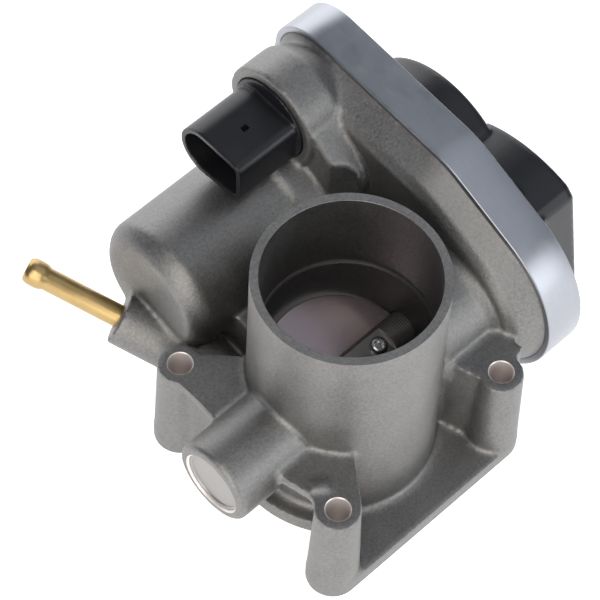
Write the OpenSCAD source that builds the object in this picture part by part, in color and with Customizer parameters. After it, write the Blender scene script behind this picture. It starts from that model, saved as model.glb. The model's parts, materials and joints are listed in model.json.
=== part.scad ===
// Electronic throttle body: a cast housing with a round intake bore, a butterfly plate on a
// cross shaft, and a geared electric actuator under a crimped cover.
// Frame: origin at the bore centre on the manifold face, +Z along the bore towards the inlet,
// +X along the throttle shaft towards the gear case, +Y towards the motor.

/* [Bore and flange] */
// Radius of the machined bore
bore_r = 22; // [20:0.1:22.4]
// Outer radius of the inlet spigot
spigot_r = 25; // [24.5:0.1:27]
// Inner radius of the spigot above the machined step
inlet_r = 22.7; // [22.5:0.1:23.5]
// Height at which the drafted barrel ends and the round spigot begins
spigot_z = 48.6; // [48.6:0.1:52]
// Height of the machined step in the bore
step_z = 49.4; // [46:0.1:60]
// Overall height of the body along the bore
body_h = 76.3; // [70:0.1:90]
// Thickness of the manifold flange
flange_t = 4.5; // [3:0.1:7]
// Height of the bolt bosses
boss_top = 34; // [30:0.5:40]
// Spacing of the flange bolts along X
bolt_x = 58.4; // [56:0.1:60]
// Spacing of the flange bolts along Y
bolt_y = 57.6; // [56:0.1:60]
// Radius of the flange bolt holes
bolt_r = 3.2; // [2.6:0.1:3.4]

/* [Throttle] */
// Height of the shaft axis above the manifold face
shaft_z = 29.6; // [28:0.1:30]
// Radius of the throttle shaft
shaft_r = 4.75; // [4:0.05:5]
// Tilt of the plate at the rest position, degrees from square to the bore
rest_tilt = 17.6; // [7:0.1:20]
// Thickness of the throttle plate
plate_t = 1.5; // [1:0.1:2]

/* [Gear train] */
// Teeth on a full circle of the sector gear
sector_teeth = 44; // [44:1:44]
// Teeth on the small idler gear
small_teeth = 12; // [12:1:12]
// Teeth on the large idler gear
large_teeth = 50; // [50:1:50]
// Teeth on the motor pinion
pinion_teeth = 10; // [10:1:10]
// Module of the sector gear pair
sector_mod = 1; // [1:0.1:1]
// Module of the motor pinion pair
pinion_mod = 0.8; // [0.8:0.1:0.8]

/* [Actuator case] */
// Where the cast front wall of the gear case stands
wall_x = 37.5; // [36:0.1:38.5]
// Where the crimp band starts
band_x = 46; // [45.8:0.1:47]
// Width of the crimp band
band_w = 12; // [11.8:0.1:13]
// Radius of the motor can
can_r = 14.2; // [13.5:0.1:14.4]
// Where the closed end of the motor housing stands
motor_end_x = -20; // [-22:0.1:-17]

/* [Hidden] */

$fn = 72;
eps = 0.01;
arc_step = 6;

// Bolt bosses, in the order -X+Y, -X-Y, +X-Y, +X+Y
bolt_mid = [-0.6, 0.4];
bolts = [for (s = [[-1, 1], [-1, -1], [1, -1], [1, 1]])
    [bolt_mid[0] + s[0] * bolt_x / 2, bolt_mid[1] + s[1] * bolt_y / 2]];
boss_r = 5.9;
boss_foot_r = 7;
flange_r = 30;
barrel_draft = 0.5;

// Gear centres: shaft, idler and motor lie on one line along Y
idler_y = sector_mod * (sector_teeth + small_teeth) / 2;
motor_y = idler_y + pinion_mod * (large_teeth + pinion_teeth) / 2;

// Outer outline of the crimp band in the Y-Z plane, as [y, z, radius] circles
case_outline = [[0, shaft_z, 29.2], [motor_y, 30, 25], [60.4, 58.3, 14], [20, 38, 30]];
band_t = 0.9;
case_inset = 2;
cavity_inset = 5;
floor_x = wall_x + 3.5;
band_end = band_x + band_w;
joint_x = band_x + 5.5;
gasket_t = 1;

// Shaft boss and its bores
boss_end_x = -46.3;
shaft_boss_r = 11.7;
cup_r = 7;
cap_seat_r = 8.6;
cap_seat_depth = 3;
needle_r = 0.8;
needle_gap = 0.03;
needle_pitch = shaft_r + needle_gap + needle_r;
shaft_end_x = 55.5;
// Distance of the plate's screws from the bore axis
screw_x = 11.6;

// Sector gear, idler and the stops the sector meets
sector_x = [47.6, 52.6];
large_x = [54.2, 57.8];
stop_pitch = 19;
stop_angles = [-96.2, 125.4];

// Motor
motor_wall = 5;
motor_step_x = 21;
can_start = motor_end_x + 5.2;
motor_screw_pitch = 17;
rotor_r = 10.2;
rotor_shaft_r = 1.6;

// Connector
conn_y = 57.2;
conn_z = 58.4;
seat_x = 27.7;
seat_r = 12.1;
tower_wall = 2.9;
mouth_x = 7;
plug_wall = 1.6;
lead_z = shaft_z + 7;
plug_outline = [[49.3, 53.4, 2.6], [60.8, 58, 7.9], [49.3, 62.6, 2.6]];

// Vacuum nipple: where it leaves its boss and which way it points
nipple_at = [-25.8, 57.1, 19.5];
nipple_turn = 116.6;
nipple_lift = 19.6;
nipple_r = 3.08;
nipple_seat_r = 3.5;

// ---------- geometry helpers ----------

// Direction of the outward normal where a belt runs from circle a to circle b
function tangent(a, b) = atan2(b[1] - a[1], b[0] - a[0])
    - acos((a[2] - b[2]) / norm([b[0] - a[0], b[1] - a[1]]));

function arc(c, from, to, n) = [for (i = [0:n]) let (a = from + (to - from) * i / n)
    [c[0] + c[2] * cos(a), c[1] + c[2] * sin(a)]];

function turn(from, to) = ((to - from) % 360 + 360) % 360;

// Outline of a belt stretched counter-clockwise around circles
function belt(circles, grow = 0) = let (n = len(circles)) [for (i = [0:n - 1])
    let (c = circles[i], from = tangent(circles[(i + n - 1) % n], c),
        sweep = turn(from, tangent(c, circles[(i + 1) % n])))
    each arc([c[0], c[1], c[2] + grow], from, from + sweep, max(2, ceil(sweep / arc_step)))];

// Extrudes a Y-Z outline from x0 to x1
module slab(x0, x1) {
    translate([x0, 0, 0]) rotate([90, 0, 90]) linear_extrude(x1 - x0) children();
}

// A cylinder or cone along X at [y, z]
module rod(x0, x1, r, y = 0, z = shaft_z, r_end = undef) {
    translate([x0, y, z]) rotate([0, 90, 0])
        cylinder(h = x1 - x0, r1 = r, r2 = is_undef(r_end) ? r : r_end);
}

module ring(x0, x1, r_out, r_in, y = 0, z = shaft_z) {
    difference() {
        rod(x0, x1, r_out, y, z);
        rod(x0 - 1, x1 + 1, r_in, y, z);
    }
}

module case_slab(x0, x1, inset) {
    slab(x0, x1) polygon(belt(case_outline, -inset));
}

// Places children on the throttle plate's plane
module on_plate() {
    translate([0, 0, shaft_z]) rotate([rest_tilt, 0, 0]) children();
}

module along_nipple() {
    translate(nipple_at) rotate([0, 90 - nipple_lift, nipple_turn]) children();
}

// Involute tooth profile: pressure angle 25 degrees with stub teeth and some backlash
pressure = 25;
backlash = 0.12;
function inv_deg(a) = tan(a) * 180 / PI - a;
function flank_angle(r, base) = r <= base ? 0 : inv_deg(acos(base / r));
function half_tooth(m, n, r) = let (pitch = m * n / 2, base = pitch * cos(pressure))
    90 / n - backlash / pitch * 90 / PI + inv_deg(pressure) - flank_angle(r, base);
function gear_points(m, n, first, last, phase) = let (pitch = m * n / 2,
        root = pitch - 1.1 * m, tip = pitch + 0.8 * m, radii = [for (i = [0:4]) root + (tip - root) * i / 4])
    [for (k = [first:last]) let (mid = phase + 360 * k / n)
        each concat([for (r = radii) let (a = mid - half_tooth(m, n, r)) [r * cos(a), r * sin(a)]],
            [for (i = [4:-1:0]) let (r = radii[i], a = mid + half_tooth(m, n, r)) [r * cos(a), r * sin(a)]])];

module gear(m, n, x0, x1, y, phase) {
    translate([0, y, shaft_z]) slab(x0, x1) polygon(gear_points(m, n, 0, n - 1, phase));
}

// A wound wire, swept as a polyhedron around the shaft axis
module coil(x0, x1, r, wire, turns, start) {
    sides = 8;
    rings = round(turns * 16);
    points = [for (i = [0:rings]) let (a = start + 360 * turns * i / rings, x = x0 + (x1 - x0) * i / rings)
        for (j = [0:sides - 1]) let (b = 360 * j / sides, q = r + wire * cos(b))
            [x + wire * sin(b), q * cos(a), shaft_z + q * sin(a)]];
    faces = concat([[for (j = [sides - 1:-1:0]) j]],
        [for (i = [0:rings - 1], j = [0:sides - 1]) let (p = i * sides + j, q = i * sides + (j + 1) % sides)
            each [[p, q, q + sides], [p, q + sides, p + sides]]],
        [[for (j = [0:sides - 1]) rings * sides + j]]);
    polyhedron(points, faces);
}

// ---------- housing ----------

module barrel() {
    cylinder(h = spigot_z, r1 = spigot_r + barrel_draft, r2 = spigot_r);
    translate([0, 0, spigot_z - eps]) cylinder(h = body_h - spigot_z + eps, r = spigot_r);
}

module bolt_bosses() {
    for (b = bolts) translate([b[0], b[1], 0]) cylinder(h = boss_top, r1 = boss_foot_r, r2 = boss_r);
}

module flange() {
    foot = [for (b = bolts) [b[0], b[1], boss_foot_r]];
    tuck = [14, 0, 0];
    linear_extrude(flange_t) {
        circle(flange_r);
        for (i = [1:3]) polygon(belt([foot[i], foot[(i + 1) % 4]]));
        polygon(belt([foot[1] + tuck, foot[2], foot[3], foot[0] + tuck]));
    }
}

// Ledges at the top of the bosses and the walls that carry them
module webs() {
    ledge_t = 3.6;
    translate([0, 0, boss_top - ledge_t]) linear_extrude(ledge_t) {
        polygon([[-34.6, 33], [-24, 28.4], [-16, 19.6], [-22, 6], [-34.6, 6], [-34.6, 11.5], [-34, 21]]);
        polygon([[-34, -6], [-22, -6], [-15, -18.7], [-24.9, -32.2], [-34.6, -29], [-32, -20.8],
            [-34, -11.3]]);
    }
    linear_extrude(boss_top - 1) {
        polygon([[-33, 30], [-26, 28], [-18, 18], [-22, 6], [-31.6, 6], [-31.6, 20]]);
        polygon([[-19.5, -14], [-15.6, -18.6], [-24.4, -31.4], [-28, -29]]);
    }
    linear_extrude(boss_top) {
        polygon([[20, -15.2], [37.2, -14.8], [38.2, -27], [34.2, -28], [29, -22], [23.2, -26]]);
        polygon([[20, 15.2], [38.2, 14.8], [38.2, 29], [34, 30], [22.4, 28]]);
    }
}

module tower() {
    rod(seat_x, wall_x + 1.3, seat_r + tower_wall, conn_y, conn_z);
}

// Carries the tower's round top down to the rim of the gear case
module tower_taper() {
    rod(wall_x + 1.2, band_x + 0.4, seat_r + tower_wall, conn_y, conn_z, seat_r - 1);
}

module tower_web() {
    slab(seat_x + 1.2, wall_x + 0.9)
        polygon(belt([[conn_y, conn_z, 13], [43, 47, 13], [motor_y - 2, shaft_z + 2, 15]]));
}

module motor_shell() {
    rod(motor_end_x + 5, wall_x + 1, can_r + motor_wall, motor_y);
    // the end is rounded in three steps
    for (s = [[0, 1.4, 0.6, 2.6], [1.4, 3, 2.6, 4], [3, 5, 4, motor_wall]])
        rod(motor_end_x + s[0], motor_end_x + s[1], can_r + s[2], motor_y, shaft_z, can_r + s[3]);
    rod(motor_step_x, wall_x + 1.1, can_r + 6.2, motor_y);
    // saddle between the motor and the bore
    translate([-7.5, 0, flange_t - 1]) cube([wall_x + 8.1, motor_y - 8, shaft_z - flange_t]);
}

// The pan that holds the gears, its rim tapering out to the crimp
module gear_case() {
    hull() {
        case_slab(wall_x, wall_x + 0.5, 7.5);
        case_slab(wall_x + 2, wall_x + 2.5, 5);
        case_slab(band_x, band_x + 0.5, case_inset);
    }
    case_slab(band_x, joint_x, case_inset);
    case_slab(band_x + band_t, joint_x, band_t);
}

module shaft_bosses() {
    rod(boss_end_x + 0.8, -20, shaft_boss_r);
    rod(boss_end_x, boss_end_x + 0.8, shaft_boss_r - 0.8, 0, shaft_z, shaft_boss_r);
    rod(20, wall_x - 2.5, 18.2);
    rod(wall_x - 2.5, wall_x + 1, 18.2, 0, shaft_z, 20.5);
    rod(floor_x - 1, floor_x + 5.6, cup_r + 0.3);
}

module housing_bores() {
    // air passage
    translate([0, 0, -1]) cylinder(h = step_z + 1, r = bore_r);
    translate([0, 0, step_z]) cylinder(h = body_h - step_z + 1, r = inlet_r);
    for (b = bolts) translate([b[0], b[1], -1]) cylinder(h = boss_top + 2, r = bolt_r);
    // shaft, bearings and seals
    rod(boss_end_x - 1, boss_end_x + cap_seat_depth, cap_seat_r);
    rod(boss_end_x, -26, cup_r);
    rod(-30, 30, shaft_r + 0.35);
    rod(25, floor_x + 7, cup_r - 0.7);
    rod(25, floor_x - 2, cup_r);
    // motor
    rod(can_start, floor_x + 1, can_r + 0.05, motor_y);
    rod(can_start - 2.2, can_start + 1, 4.2, motor_y);
    for (s = [-1, 1]) rod(floor_x - 8, floor_x + 1, 1.25, motor_y, shaft_z + s * motor_screw_pitch);
    // idler pin and stop pins
    rod(wall_x + 0.8, floor_x + 1, 2.5, idler_y);
    for (a = stop_angles)
        rod(wall_x + 0.8, floor_x + 1, 1.5, stop_pitch * cos(a), shaft_z + stop_pitch * sin(a));
    // well that lets a driver reach the bolt beside the motor
    translate([bolts[3][0], bolts[3][1], boss_top]) cylinder(h = body_h, r = boss_r + 0.3);
    // connector seat and passage
    rod(seat_x - 1, seat_x + 3.5, seat_r, conn_y, conn_z);
    rod(seat_x, floor_x + 1, 9.8, conn_y, conn_z);
    // nipple seat and vacuum drilling
    along_nipple() {
        translate([0, 0, -12]) cylinder(h = 20, r = nipple_seat_r);
        translate([0, 0, -52]) cylinder(h = 60, r = 1.8);
    }
}

module housing() color([0.62, 0.61, 0.6]) difference() {
    union() {
        barrel();
        flange();
        bolt_bosses();
        webs();
        shaft_bosses();
        difference() {
            union() {
                gear_case();
                tower_taper();
            }
            difference() {
                case_slab(floor_x, joint_x + 1, cavity_inset);
                rod(floor_x - 1, floor_x + 5.6, cup_r + 0.3);
            }
        }
        motor_shell();
        tower_web();
        tower();
        // the nipple's boss runs into the barrel, so that the vacuum drilling stays closed
        along_nipple() translate([0, 0, -41]) cylinder(h = 41, r = 7.4);
    }
    housing_bores();
    translate([-100, -100, -50]) cube([200, 250, 50]);
}

// ---------- fixed small parts ----------

module vacuum_nipple() color([0.72, 0.56, 0.3]) along_nipple() difference() {
    union() {
        translate([0, 0, -11.5]) cylinder(h = 11.3, r = nipple_seat_r);
        translate([0, 0, -1]) cylinder(h = 27, r = nipple_r);
        translate([0, 0, 21.6]) cylinder(h = 1.2, r1 = nipple_r, r2 = nipple_r + 0.6);
        translate([0, 0, 22.8]) cylinder(h = 3.2, r = nipple_r + 0.6);
        translate([0, 0, 26]) cylinder(h = 1.3, r1 = nipple_r + 0.6, r2 = nipple_r - 0.3);
    }
    translate([0, 0, -13]) cylinder(h = 42, r = 2.1);
}

module shaft_end_cap() color([0.75, 0.74, 0.73]) difference() {
    rod(boss_end_x + 0.5, boss_end_x + 2.8, cap_seat_r);
    rod(boss_end_x - 1, boss_end_x + 1.1, cap_seat_r - 0.8);
    rod(boss_end_x + 1.9, boss_end_x + 4, cap_seat_r - 1.2);
}

module bearing_cup(x0) color([0.7, 0.7, 0.72]) difference() {
    rod(x0, x0 + 10, cup_r);
    rod(x0 - 1, x0 + 11, shaft_r + 0.4);
    rod(x0 + 0.8, x0 + 9.2, needle_pitch + needle_r + needle_gap);
}
module bearing_needles(x0) color([0.8, 0.8, 0.82]) for (k = [0:17])
    rod(x0 + 1.1, x0 + 8.9, needle_r,
        needle_pitch * cos(20 * k), shaft_z + needle_pitch * sin(20 * k), $fn = 24);
module bearing_cup_left() bearing_cup(-43);
module bearing_cup_right() bearing_cup(28.6);
module bearing_needles_left() bearing_needles(-43);
module bearing_needles_right() bearing_needles(28.6);

module shaft_seal(x0) color([0.12, 0.12, 0.12]) difference() {
    rod(x0, x0 + 3, cup_r);
    rod(x0 - 1, x0 + 4, shaft_r + 0.04);
    rod(x0 + 1, x0 + 4, cup_r - 1);
}
module shaft_seal_left() shaft_seal(-32.6);
module shaft_seal_right() shaft_seal(25.3);

module stop_pins() color([0.7, 0.7, 0.72]) for (a = stop_angles)
    rod(wall_x + 1, sector_x[1], 1.5, stop_pitch * cos(a), shaft_z + stop_pitch * sin(a), $fn = 32);

module idler_pin() color([0.78, 0.78, 0.8]) rod(wall_x + 1, 60, 2.5, idler_y);

// ---------- throttle, sector gear and springs ----------

module throttle_shaft() color([0.3, 0.28, 0.28]) difference() {
    rod(boss_end_x + 3.8, shaft_end_x, shaft_r);
    on_plate() {
        translate([-bore_r + 0.1, -shaft_r - 1, -plate_t / 2 - 0.02])
            cube([2 * bore_r - 0.2, 2 * shaft_r + 2, plate_t + 0.04]);
        translate([-15, -shaft_r - 1, 3.1]) cube([30, 2 * shaft_r + 2, 5]);
        for (s = [-1, 1]) translate([screw_x * s, 0, -6]) cylinder(h = 12, r = 1.3);
    }
    // flats that drive the sector gear
    for (s = [-1, 1]) translate([51, s * 6.4, shaft_z]) cube([10, 5, 12], center = true);
}

module throttle_plate() color([0.4, 0.34, 0.33]) on_plate() difference() {
    translate([0, 0, -plate_t / 2]) cylinder(h = plate_t, r = bore_r - 0.18, $fn = 120);
    for (s = [-1, 1]) translate([screw_x * s, 0, -3]) cylinder(h = 6, r = 1.7);
}

module plate_screws() color([0.75, 0.77, 0.78]) on_plate()
        for (s = [-1, 1]) translate([screw_x * s, 0, 0]) difference() {
    union() {
        translate([0, 0, -4.2]) cylinder(h = 7.5, r = 1.25);
        translate([0, 0, 3.12]) cylinder(h = 1, r = 2.4);
        translate([0, 0, 4.12]) cylinder(h = 0.5, r1 = 2.4, r2 = 1.7);
    }
    translate([0, 0, 3.5]) for (k = [0:2]) rotate(60 * k) cube([2.5, 0.7, 4], center = true);
}

sector_first = -10;
sector_last = 5;
module sector_gear() color([0.85, 0.83, 0.76]) difference() {
    union() {
        translate([0, 0, shaft_z]) slab(sector_x[0], sector_x[1]) polygon(concat([[0, 0]],
            gear_points(sector_mod, sector_teeth, sector_first, sector_last, 180 / sector_teeth)));
        rod(sector_x[0], sector_x[1], 12.5);
        rod(sector_x[0] - 0.5, sector_x[1] + 1, 7);
    }
    difference() {
        rod(sector_x[0] - 2, sector_x[1] + 2, shaft_r + 0.02);
        for (s = [-1, 1]) translate([51, s * 6.45, shaft_z]) cube([20, 5, 12], center = true);
    }
    // lightening windows between hub and rim
    for (a = [-62, -36, -10, 16])
        rod(sector_x[0] - 1, sector_x[1] + 1, 2.6, 16.2 * cos(a), shaft_z + 16.2 * sin(a));
}

module sensor_wiper() color([0.8, 0.6, 0.35]) {
    ring(sector_x[1] + 0.02, sector_x[1] + 0.5, 12, 7.3);
    for (r = [9, 10.8], a = [165, 195]) translate([sector_x[1] + 0.4, 0, shaft_z]) rotate([a, 0, 0])
        translate([0, r - 0.4, -1.6]) cube([3.5, 0.8, 0.3]);
}

module return_spring() color([0.45, 0.45, 0.47]) union() {
    coil(floor_x + 0.8, 46.2, 8.35, 0.48, 4, 40);
    rod(46, sector_x[0] - 0.05, 0.48, 8.35 * cos(40), shaft_z + 8.35 * sin(40), $fn = 16);
}
module limp_home_spring() color([0.5, 0.5, 0.52]) union() {
    coil(floor_x + 0.9, 46.2, 10.1, 0.5, 3.25, 150);
    rod(46, sector_x[0] - 0.05, 0.5, 10.1 * cos(240), shaft_z + 10.1 * sin(240), $fn = 16);
}

// ---------- idler ----------

module idler_gear() color([0.86, 0.84, 0.78]) difference() {
    union() {
        gear(pinion_mod, large_teeth, large_x[0], large_x[1], idler_y, 180 / large_teeth);
        gear(sector_mod, small_teeth, 46.8, large_x[0] + 1, idler_y, 180);
        rod(floor_x + 0.4, 47, 4.4, idler_y);
    }
    rod(floor_x - 1, large_x[1] + 1, 2.54, idler_y);
    ring(large_x[1] - 0.9, large_x[1] + 1, 17.2, 8, idler_y);
}

// ---------- motor ----------

module motor_can() color([0.6, 0.61, 0.63]) difference() {
    union() {
        rod(can_start, floor_x, can_r, motor_y);
        rod(can_start - 2, can_start + 1, 4, motor_y);
    }
    rod(can_start + 1.2, floor_x + 1, can_r - 1.2, motor_y);
    rod(can_start - 0.8, can_start + 2, 3, motor_y);
}

module motor_magnets() color([0.2, 0.2, 0.21]) for (s = [-1, 1]) intersection() {
    ring(-6, 24, can_r - 1.22, rotor_r + 0.5, motor_y);
    translate([9, motor_y + s * 14, shaft_z]) cube([40, 22, 24], center = true);
}

module motor_mounting_plate() color([0.72, 0.72, 0.74]) difference() {
    slab(floor_x, floor_x + 1.4) polygon(belt([[motor_y, shaft_z - motor_screw_pitch, 2.5],
        [motor_y, shaft_z, 15.6], [motor_y, shaft_z + motor_screw_pitch, 2.5], [motor_y - 0.1, shaft_z, 15.6]]));
    rod(floor_x - 1, floor_x + 3, 5, motor_y);
    for (s = [-1, 1]) rod(floor_x - 1, floor_x + 3, 1.4, motor_y, shaft_z + s * motor_screw_pitch);
    translate([floor_x + 1, conn_y, lead_z]) cube([6, 10, 2.6], center = true);
}

module motor_screws() color([0.75, 0.77, 0.78]) for (s = [-1, 1]) difference() {
    union() {
        rod(floor_x - 7, floor_x + 2, 1.25, motor_y, shaft_z + s * motor_screw_pitch);
        rod(floor_x + 1.4, floor_x + 3, 2.3, motor_y, shaft_z + s * motor_screw_pitch);
    }
    translate([floor_x + 3, motor_y, shaft_z + s * motor_screw_pitch]) for (k = [0:2]) rotate([60 * k, 0, 0])
        cube([1.6, 2.4, 0.7], center = true);
}

module motor_end_plate() color([0.16, 0.16, 0.17]) difference() {
    rod(34.5, 40.8, can_r - 1.25, motor_y);
    rod(33, 42, 3, motor_y);
    rod(33, 38, 9.5, motor_y);
    for (s = [-1, 1]) translate([40, conn_y + 3.6 * s, lead_z]) cube([4, 1.5, 0.9], center = true);
}

module motor_brushes() color([0.25, 0.22, 0.2]) for (s = [-1, 1])
    translate([31, motor_y + s * 7, shaft_z]) cube([4, 4, 3], center = true);

module motor_bushes() color([0.7, 0.5, 0.28]) {
    ring(can_start - 0.7, can_start + 1.1, 3, rotor_shaft_r + 0.03, motor_y);
    ring(38.1, 40.8, 3, rotor_shaft_r + 0.03, motor_y);
}

module rotor_shaft() color([0.8, 0.8, 0.82]) rod(can_start - 0.5, 58.4, rotor_shaft_r, motor_y);

module rotor_core() color([0.4, 0.4, 0.42]) difference() {
    rod(-4, 22, rotor_r, motor_y);
    rod(-5, 23, rotor_shaft_r, motor_y);
    for (k = [0:4]) rod(-5, 23, 2.1, motor_y + 7 * cos(72 * k), shaft_z + 7 * sin(72 * k));
    for (k = [0:4]) translate([9, motor_y, shaft_z]) rotate([72 * k, 0, 0]) translate([0, 9.6, 0])
        cube([30, 4.4, 1.2], center = true);
}

module rotor_windings() color([0.7, 0.38, 0.2]) {
    for (x = [-8, 22]) difference() {
        rod(x, x + 4, 9.2, motor_y);
        rod(x - 1, x + 5, 3.6, motor_y);
    }
    for (k = [0:4]) rod(-4.5, 22.5, 2.05, motor_y + 7 * cos(72 * k), shaft_z + 7 * sin(72 * k));
}

module rotor_commutator() color([0.75, 0.45, 0.25]) difference() {
    rod(26.5, 33.5, 4.6, motor_y);
    rod(26, 34, rotor_shaft_r, motor_y);
    for (k = [0:9]) translate([31, motor_y, shaft_z]) rotate([36 * k, 0, 0]) translate([0, 4.6, 0])
        cube([8, 1.2, 0.4], center = true);
}

module motor_pinion() color([0.8, 0.68, 0.4]) difference() {
    gear(pinion_mod, pinion_teeth, large_x[0] - 0.5, large_x[1] + 0.4, motor_y, 0);
    rod(large_x[0] - 2, large_x[1] + 2, rotor_shaft_r, motor_y);
}

// ---------- cover, band and gasket ----------

roof_x = band_end + 2.4;
roof_inset = 4.6;
roof_hollow = 5.7;
idler_dome = [33.6, 34.7, 25.5];
idler_dome_x = 70;
sensor_dome_x = 72.5;
skin = 2.2;

// Outline of the raised sensor housing: a shallow crown, a flat side and a round foot
function sensor_outline(inset) = concat(
    arc([4.7, 18.6, 37.2 - inset], 64, 110, 10),
    [[-10.6 + inset, 51.2 - inset], [-16.4 + inset, 17]],
    arc([0, shaft_z, 23.5 - inset], 224, 300, 10),
    [[22 - inset, 16 + inset]]);

module gear_cover() color([0.09, 0.09, 0.1]) {
    difference() {
        union() {
            case_slab(joint_x + gasket_t, band_end - band_t, band_t);
            case_slab(band_end - band_t, roof_x, roof_inset);
            rod(roof_x - 1, idler_dome_x, idler_dome[2], idler_dome[0], idler_dome[1]);
            slab(roof_x - 1, sensor_dome_x) polygon(sensor_outline(0));
        }
        case_slab(joint_x, roof_x - skin, roof_hollow);
        rod(roof_x - 4, idler_dome_x - skin, idler_dome[2] - skin, idler_dome[0], idler_dome[1]);
        slab(roof_x - 4, sensor_dome_x - skin) polygon(sensor_outline(skin));
    }
    // boss that steadies the idler pin
    ring(large_x[1] + 0.4, idler_dome_x - skin + 0.5, 5, 2.5, idler_y);
}

module cover_gasket() color([0.1, 0.1, 0.1]) difference() {
    case_slab(joint_x, joint_x + gasket_t, band_t + 0.3);
    case_slab(joint_x - 1, joint_x + gasket_t + 1, cavity_inset - 0.4);
}

module crimp_band() color([0.72, 0.73, 0.76]) difference() {
    case_slab(band_x, band_end, 0);
    case_slab(band_x + band_t, band_end - band_t, band_t);
    case_slab(band_x - 1, band_x + 2, case_inset);
    case_slab(band_end - 2, band_end + 1, 3.4);
}

module sensor_board() color([0.1, 0.25, 0.16]) difference() {
    slab(roof_x - skin - 1.4, roof_x - skin) polygon(belt([[-4, shaft_z - 3, 10], [-1, 44, 7]]));
}

// ---------- connector ----------

module connector_shell() color([0.09, 0.09, 0.1]) difference() {
    union() {
        slab(mouth_x, seat_x + 1) polygon(belt(plug_outline));
        rod(seat_x - 0.6, seat_x + 3.5, seat_r - 0.1, conn_y, conn_z);
        rod(seat_x + 3, floor_x + 0.9, 9.2, conn_y, conn_z);
    }
    slab(mouth_x - 1, seat_x - 2) polygon(belt(plug_outline, -plug_wall));
    ring(seat_x + 5, seat_x + 7.5, 10, 8, conn_y, conn_z);
    for (i = [-1, 0, 1], j = [-1, 1]) translate([30, conn_y + 3.6 * i, conn_z + 2.6 * j])
        cube([40, 1.5, 0.8], center = true);
}

module connector_seal() color([0.45, 0.2, 0.12]) translate([seat_x + 6.25, conn_y, conn_z]) rotate([0, 90, 0])
    rotate_extrude() translate([8.95, 0]) circle(0.8, $fn = 24);

module connector_pins() color([0.75, 0.72, 0.6]) for (i = [-1, 0, 1], j = [-1, 1])
    translate([29, conn_y + 3.6 * i, conn_z + 2.6 * j]) cube([32.8, 1.46, 0.76], center = true);

module motor_leads() color([0.75, 0.6, 0.35]) for (s = [-1, 1]) translate([0, conn_y + 3.6 * s - 0.7, 0]) {
    translate([45.41, 0, lead_z - 0.4]) cube([0.8, 1.4, conn_z - lead_z]);
    translate([floor_x - 2, 0, lead_z - 0.4]) cube([45.41 - floor_x + 2.4, 1.4, 0.8]);
}

housing();
vacuum_nipple();
shaft_end_cap();
bearing_cup_left();
bearing_needles_left();
bearing_cup_right();
bearing_needles_right();
shaft_seal_left();
shaft_seal_right();
throttle_shaft();
throttle_plate();
plate_screws();
sector_gear();
sensor_wiper();
return_spring();
limp_home_spring();
stop_pins();
idler_pin();
idler_gear();
motor_can();
motor_magnets();
motor_mounting_plate();
motor_screws();
motor_end_plate();
motor_brushes();
motor_bushes();
rotor_shaft();
rotor_core();
rotor_windings();
rotor_commutator();
motor_pinion();
gear_cover();
cover_gasket();
crimp_band();
sensor_board();
connector_shell();
connector_seal();
connector_pins();
motor_leads();
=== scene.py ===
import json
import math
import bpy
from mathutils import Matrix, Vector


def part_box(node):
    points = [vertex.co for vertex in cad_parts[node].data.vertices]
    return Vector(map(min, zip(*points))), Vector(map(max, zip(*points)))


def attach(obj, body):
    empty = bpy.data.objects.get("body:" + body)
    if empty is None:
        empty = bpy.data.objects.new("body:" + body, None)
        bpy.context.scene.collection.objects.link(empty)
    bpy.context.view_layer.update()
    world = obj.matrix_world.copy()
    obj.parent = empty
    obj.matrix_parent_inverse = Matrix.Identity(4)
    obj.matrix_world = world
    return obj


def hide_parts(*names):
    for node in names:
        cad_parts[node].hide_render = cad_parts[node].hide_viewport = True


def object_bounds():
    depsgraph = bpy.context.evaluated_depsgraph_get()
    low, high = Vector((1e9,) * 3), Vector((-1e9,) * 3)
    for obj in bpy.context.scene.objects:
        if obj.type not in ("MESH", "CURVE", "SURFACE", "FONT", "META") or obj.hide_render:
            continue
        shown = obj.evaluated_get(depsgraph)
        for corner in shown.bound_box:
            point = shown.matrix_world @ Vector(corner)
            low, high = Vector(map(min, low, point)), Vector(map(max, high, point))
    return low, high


bl_info = {
    "name": "Throttle Body",
    "version": (1, 0, 0),
    "blender": (4, 5, 0),
    "location": "3D View > Sidebar > Throttle Body",
    "description": "Cast housing, crimped cover, connector, nipple and finishes for a throttle body frame",
    "category": "Object",
}

import bmesh
import bpy
from bpy.props import FloatProperty, FloatVectorProperty, IntProperty, PointerProperty
from mathutils import Matrix, Vector

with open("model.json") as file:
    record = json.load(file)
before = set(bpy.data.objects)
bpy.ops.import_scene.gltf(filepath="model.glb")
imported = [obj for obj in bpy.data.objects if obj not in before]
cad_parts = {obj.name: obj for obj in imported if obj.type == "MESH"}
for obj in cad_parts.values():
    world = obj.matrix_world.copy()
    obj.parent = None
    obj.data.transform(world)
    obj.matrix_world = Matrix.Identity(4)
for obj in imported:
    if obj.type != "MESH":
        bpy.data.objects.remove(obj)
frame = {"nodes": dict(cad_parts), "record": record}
NODES = frame["nodes"]
CAD_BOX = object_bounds()
MM = 0.001

# ---------- sizes that the frame gives, in millimetres ----------


def corners(node):
    """Lowest and highest corner of a CAD node in millimetres."""
    low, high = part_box(node)
    return low / MM, high / MM


CAP_LOW, CAP_HIGH = corners("shaft_end_cap")
BAND_LOW, BAND_HIGH = corners("crimp_band")
COVER_TOP = corners("gear_cover")[1].x
CAN_LOW, CAN_HIGH = corners("motor_can")
CUP_HIGH = corners("bearing_cup_left")[1]
SHAFT_Z = (CAP_LOW.z + CAP_HIGH.z) / 2
MOTOR_Y = (CAN_LOW.y + CAN_HIGH.y) / 2
CAN_R = (CAN_HIGH.z - CAN_LOW.z) / 2
BODY_H = corners("housing")[1].z

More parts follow.
